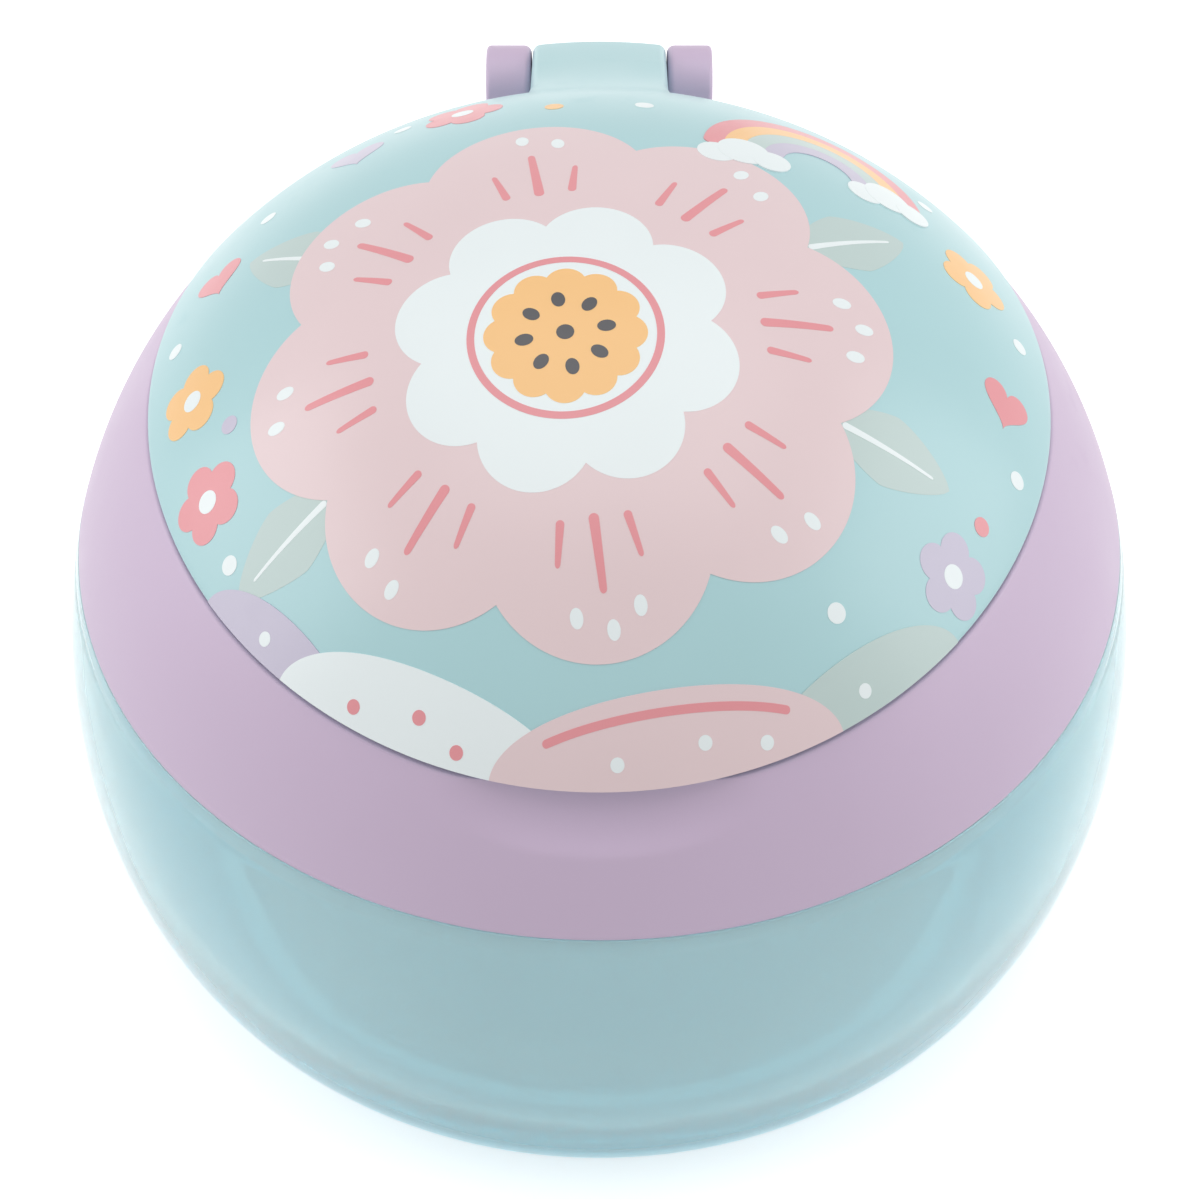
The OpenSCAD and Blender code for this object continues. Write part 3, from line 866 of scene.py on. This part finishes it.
def draw_blossom(ink):
    """The large blossom: four leaves, eight petals with rays and dots, and seeds at its heart."""
    middle = np.array([-3.0, -12.0])
    turn, count = 8.0, 8
    pitch = 360 / count

    for degrees, length in ((-149.5, 15), (-14.5, 14), (30.5, 14), (148, 14)):
        place = around(middle, 31.0, degrees)
        ink["teal"].append(patch(polar(leaf(length, 7.5), place, degrees, 64), place, 0))
        vein = [around(middle, 26, degrees), around(middle, 36, degrees)]
        ink["white"].append(line(vein, 0.7, 1, 0.6))

    ink["pink"].append(patch(polar(petals(count, 20.0, 10.6), middle, turn, 480), middle, 2))
    ink["white"].append(patch(polar(petals(count, 10.6, 5.2), middle, turn + pitch / 2, 240), middle, 3))
    ring = [polar(lambda a, r=r: r, middle, 0, 120) for r in (8.1, 8.8)]
    ink["rose"].append(strip(ring[0], ring[1], 4, closed=True))
    ink["orange"].append(patch(polar(petals(12, 5.4, 1.9), middle, 0, 144), middle, 4))
    for k in range(8):
        degrees = 45 * k + 10
        ink["dark"].append(dot(around(middle, 3.7, degrees), 0.62, 5, turn=degrees, stretch=1.35))
    ink["dark"].append(dot(middle, 0.8, 5))

    for k in range(count):
        axis = turn + pitch * k
        ink["rose"].append(line([around(middle, 17.6, axis), around(middle, 24.6, axis)], 0.95, 3, 0.3))
        for side in (-1, 1):
            ray = [around(middle, 18.0, axis + side * 9.5), around(middle, 22.2, axis + side * 10)]
            ink["rose"].append(line(ray, 0.8, 3, 0.4))
        dots = 3 if k % 3 == 0 else 2
        for degrees, away in ((-6, 27.3), (1, 28.6), (7, 27.0))[:dots]:
            place = around(middle, away - 0.8, axis + degrees)
            ink["white"].append(dot(place, 0.62, 3, turn=axis, stretch=1.5))


def draw_scatter(ink):
    """Small blossoms, hearts and dots round the large blossom."""
    for u, v, colour, turned_by in ((-41.0, -8.0, "orange", 10), (-39.0, -20.5, "rose", 40),
                                    (38.5, 8.0, "orange", -14), (35.0, -29.5, "lavender", 20),
                                    (-14.0, 27.0, "rose", 0)):
        ink[colour].append(patch(polar(petals(5, 2.45, 1.75), (u, v), turned_by, 100), (u, v), 1))
        ink["white"].append(dot((u, v), 1.15, 2, 28))

    for u, v, colour, size, turned_by in ((-39.5, 9.0, "rose", 2.9, 10), (41.0, -8.5, "rose", 3.0, -10),
                                          (-25.0, 23.0, "lavender", 3.0, 8)):
        ink[colour].append(patch(heart((u, v), size, turned_by), (u, v), 1))

    for u, v, colour in ((-44.5, 1.5, "white"), (-34.5, 16.8, "white"), (-36.8, -27.8, "white"),
                         (-36.0, -13.5, "lavender"), (44.0, 1.8, "white"), (38.0, -23.5, "rose"),
                         (42.5, -16.5, "white"), (22.5, -36.0, "white"), (-20.5, 27.5, "white"),
                         (-4.5, 24.5, "orange"), (34.5, 20.0, "white"), (4.5, 25.0, "white")):
        ink[colour].append(dot((u, v), 0.95, 1, 28))


def draw_rainbow(ink):
    """A small rainbow with a round tuft at each end."""
    bow = np.array([21.5, 15.5])
    for colour, radius in (("rose", 10.6), ("orange", 8.6), ("teal", 6.6), ("lavender", 4.6)):
        arc = [around(bow, radius, a) for a in np.linspace(-4, 176, 60)]
        ink[colour].append(line(arc, 2.0, 3))
    for side in (-1, 1):
        for du, dv, r, layer in ((-2.7, -0.6, 1.9, 4), (0, 0.5, 2.6, 5), (2.7, -0.6, 1.9, 6)):
            ink["white"].append(dot(bow + np.array([side * 7.6 + du, dv - 0.4]), r, layer, 48))


def draw_hills(ink):
    """Hills along the lid's front edge, with dots on them and a line below the front one's top."""
    front = (-82, 20, 8.6)
    for colour, place, layer in (("lavender", (-131, 12, 5.0), 3), ("teal", (-58, 14, 5.8), 3),
                                 ("white", (-111, 18, 7.6), 4), ("pink", front, 5)):
        ink[colour].append(hill(*place, layer))
    crest = [on_hill(*front, k, 1.9) for k in np.linspace(-0.72, 0.72, 40)]
    ink["rose"].append(line(crest, 0.8, 6))
    for degrees, inset, colour, layer in ((-88, 2.4, "white", 6), (-78, 3.4, "white", 6),
                                          (-71, 1.9, "white", 6), (-119, 1.9, "rose", 5),
                                          (-111, 3.6, "rose", 5), (-106, 1.7, "rose", 5),
                                          (-58, 2.2, "white", 4), (-133, 2.0, "white", 4)):
        place = around((0, 0), rim_run(math.radians(degrees)) - inset, degrees)
        ink[colour].append(dot(place, 0.7, layer))


def make_print():
    """A plain nursery pattern of thin shells on the lid, one piece for each ink."""
    ink = {name: [] for name in ("pink", "white", "rose", "orange", "teal", "lavender", "dark")}
    draw_blossom(ink)
    draw_scatter(ink)
    draw_rainbow(ink)
    draw_hills(ink)
    for name, shells in ink.items():
        verts, faces, start = [], [], 0
        for shell_verts, shell_faces in shells:
            verts.append(shell_verts)
            faces += [tuple(start + i for i in face) for face in shell_faces]
            start += len(shell_verts)
        piece = mesh_piece(f"print_{name}", np.concatenate(verts), faces)
        colour = plastic(f"ink_{name}", srgb(*INKS[name]), 0.3, grain_mm=2.5, grain=0.004)
        dress(piece, colour, "lid")


# ---------------------------------------------------------------- soft insert

RING_LIP = 0.1
RING_PROUD = 0.02
SLIT_CLOSED = 0.03
ACROSS = 15


def make_flap_ring():
    """The insert's flange between neck and deck, with the ring that centres it in the neck."""
    spigot_r = NECK_R - BOWL_WALL - RUN_GAP
    top, foot = high("flap_ring", Z), low("flap_ring", Z)
    flange_z = top - FLANGE_T
    inner = FLAP_ROOT + 1.0
    points = [(inner, FLAP_TOP_Z - FLAP_T - RING_LIP), (inner, FLAP_TOP_Z + RING_PROUD), (inner + 1.1, top),
              (NECK_R, top), (NECK_R, flange_z), (spigot_r, flange_z), (spigot_r, foot),
              (spigot_r - SPIGOT_T, foot), (spigot_r - SPIGOT_T, flange_z)]
    outline = rounded(points, [0.3, 0.25, 0.4, 0.4, 0.4, 0.3, 0.3, 0.4, 0.8], closed=True)
    ring = turned("insert_ring", lambda angle: outline)
    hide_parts("flap_ring")
    return dress(ring, INSERT_LILAC, "insert")


def slit_half(r):
    """Half width of the slit between two flaps, which ends in a small round hole against tearing."""
    hole = RELIEF_R ** 2 - (r - FLAP_ROOT + RELIEF_IN) ** 2
    straight = SLIT_W / 2 if r < FLAP_ROOT - RELIEF_IN else SLIT_CLOSED
    return max(straight, math.sqrt(max(hole, 0)))


def flap_cap(first):
    """Quads over the curved end of a flap, between its top row, its bottom row and its two sides."""
    last = ACROSS - 1
    under = ACROSS + 2
    faces = [(k, k + 1, under + last - k - 1, under + last - k) for k in range(last)]
    faces += [(last, last + 1, last + 2, last + 3), (2 * under - 3, 2 * under - 2, 2 * under - 1, 0)]
    return [tuple(first + i for i in face) for face in faces]


def flap_section(r, middle, outer_r):
    """Closed outline of a flap at a radius: its top row, one side, its bottom row and the other side."""
    share = (outer_r - r) / (outer_r - EYE_R)
    half_angle = TURN / FLAPS / 2 - math.asin(slit_half(r) / r)
    thick = FLAP_T - FLAP_THINNING * share
    top = FLAP_TOP_Z - FLAP_DISH * ease(share) * share
    surface = top - FLAP_GROOVE_DEPTH * math.exp(-((r - FLAP_ROOT) / FLAP_GROOVE_W) ** 2)
    inside = 1 - min(FLAP_EDGE, thick * 0.45) / max(r * half_angle, 1)
    steps = [half_angle * (1 - 2 * k / (ACROSS - 1)) * inside for k in range(ACROSS)]

    def at(angle, z):
        return r * math.cos(angle), r * math.sin(angle), z

    ring = [at(middle + step, surface) for step in steps]
    ring += [at(middle - half_angle, surface - thick * down) for down in (0.3, 0.7)]
    ring += [at(middle - step, top - thick) for step in steps]
    return ring + [at(middle + half_angle, surface - thick * down) for down in (0.7, 0.3)]


def make_flap(i):
    """One soft flap: flush with the ring at its root, thinner and slightly dished towards its tip."""
    middle = (i - 0.5) * TURN / FLAPS
    outer_r = FLAP_ROOT + FLAP_REACH
    radii = np.concatenate([np.linspace(outer_r, FLAP_ROOT + 0.6, 8),
                            np.linspace(FLAP_ROOT + 0.4, FLAP_ROOT - 1.2, 15),
                            np.linspace(FLAP_ROOT - 1.6, EYE_R, 27)])
    rings = [flap_section(r, middle, outer_r) for r in radii]
    count = len(rings[0])
    faces = grid_faces(len(radii), count, False, True) + flap_cap(0) + flap_cap((len(radii) - 1) * count)
    flap = mesh_piece(f"soft_flap_{i}", np.concatenate(rings), faces, sharp_deg=60)
    flap.data.materials.append(INSERT_LILAC)
    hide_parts(f"flap_{i}")
    start, end = [(r * MM * math.cos(middle), r * MM * math.sin(middle), FLAP_TOP_Z * MM)
                  for r in (FLAP_ROOT + FLAP_BEND_HALF, FLAP_ROOT - FLAP_BEND_HALF)]
    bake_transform(flap)
    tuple(start)
    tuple(end)
    return flap


# ---------------------------------------------------------------- stage, lights and camera

CAMERA_TILT = math.radians(47.48)
CAMERA_AWAY = 295.06
CAMERA_AIM_Z = 40.0
FOCAL_PX = 2928.0
CENTRE_PX = (599.3, 547.3)
FRAME_PX = 1200
SENSOR = 36.0
AMBIENT = 0.5
FLOOR_HALF = 2.2
FLOOR_GREY = 0.8
FLOOR_GLOW = 0.6
LAMP_AIM = Vector((0, 0, 40)) * MM


def make_camera():
    """The photograph's view, fitted to the outline of the cup."""
    data = bpy.data.cameras.new("camera")
    data.sensor_width = SENSOR
    data.lens = FOCAL_PX / FRAME_PX * SENSOR
    data.shift_x = (FRAME_PX / 2 - CENTRE_PX[0]) / FRAME_PX
    data.shift_y = (CENTRE_PX[1] - FRAME_PX / 2) / FRAME_PX
    data.clip_start = 0.01
    camera = bpy.data.objects.new("camera", data)
    camera.location = Vector((0, -CAMERA_AWAY * math.cos(CAMERA_TILT),
                              CAMERA_AIM_Z + CAMERA_AWAY * math.sin(CAMERA_TILT))) * MM
    camera.rotation_euler = (math.pi / 2 - CAMERA_TILT, 0, 0)
    bpy.context.scene.collection.objects.link(camera)
    bpy.context.scene.camera = camera


def seen_rays(nodes, links):
    """1 for rays that the camera, a mirror image or a see-through surface sends, 0 for lighting rays."""
    path = nodes.new("ShaderNodeLightPath")
    total = path.outputs["Is Camera Ray"]
    for other in ("Is Glossy Ray", "Is Transmission Ray"):
        add = nodes.new("ShaderNodeMath")
        add.operation = "MAXIMUM"
        links.new(total, add.inputs[0])
        links.new(path.outputs[other], add.inputs[1])
        total = add.outputs[0]
    return total


def make_world():
    """A white surround that lights the cup less than it shows."""
    world = bpy.data.worlds.new("studio")
    bpy.context.scene.world = world
    world.use_nodes = True
    nodes, links = world.node_tree.nodes, world.node_tree.links
    strength = nodes.new("ShaderNodeMapRange")
    strength.inputs["To Min"].default_value = AMBIENT
    strength.inputs["To Max"].default_value = 1
    links.new(seen_rays(nodes, links), strength.inputs["Value"])
    background = nodes["Background"]
    background.inputs["Color"].default_value = (1, 1, 1, 1)
    links.new(strength.outputs["Result"], background.inputs["Strength"])


def make_floor():
    """A white floor that takes a soft shadow."""
    mesh = bpy.data.meshes.new("floor")
    corners = [(x * FLOOR_HALF, y * FLOOR_HALF, 0) for x, y in ((-1, -1), (1, -1), (1, 1), (-1, 1))]
    mesh.from_pydata(corners, [], [(0, 1, 2, 3)])
    floor = bpy.data.objects.new("floor", mesh)
    bpy.context.scene.collection.objects.link(floor)
    material = bpy.data.materials.new("floor_white")
    material.use_nodes = True
    nodes, links = nodes_of(material)
    nodes.remove(nodes["Principled BSDF"])
    diffuse = nodes.new("ShaderNodeBsdfDiffuse")
    diffuse.inputs["Color"].default_value = (FLOOR_GREY, FLOOR_GREY, FLOOR_GREY, 1)
    glow = nodes.new("ShaderNodeEmission")
    scale = nodes.new("ShaderNodeMath")
    scale.operation = "MULTIPLY"
    scale.inputs[1].default_value = FLOOR_GLOW
    links.new(seen_rays(nodes, links), scale.inputs[0])
    links.new(scale.outputs[0], glow.inputs["Strength"])
    add = nodes.new("ShaderNodeAddShader")
    links.new(diffuse.outputs[0], add.inputs[0])
    links.new(glow.outputs[0], add.inputs[1])
    links.new(add.outputs[0], nodes["Material Output"].inputs["Surface"])
    mesh.materials.append(material)


def softbox(name, place, size, radiance):
    """A rectangular lamp aimed at the middle of the cup, with its place and size in metres."""
    data = bpy.data.lights.new(name, "AREA")
    data.shape = "RECTANGLE"
    data.size, data.size_y = size
    data.energy = radiance * math.pi * size[0] * size[1]
    lamp = bpy.data.objects.new(name, data)
    lamp.location = place
    towards = LAMP_AIM - lamp.location
    lamp.rotation_euler = towards.to_track_quat("-Z", "Y").to_euler()
    bpy.context.scene.collection.objects.link(lamp)


make_camera()
make_world()
make_floor()
softbox("left_box", (-1.1, 0.0, 0.5), (1.0, 0.85), 2.05)
softbox("right_box", (1.1, 0.0, 0.5), (1.0, 0.85), 2.05)
softbox("top_box", (0, 0.15, 1.3), (1.3, 1.1), 1.15)

make_bowl()
make_collar()
make_lid()
make_print()
make_flap_ring()
for number in range(1, FLAPS + 1):
    make_flap(number)
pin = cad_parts["hinge_pin"]
pin.data.materials.clear()
pin.data.materials.append(PIN_STEEL)

bpy.context.scene.view_settings.view_transform = "Standard"
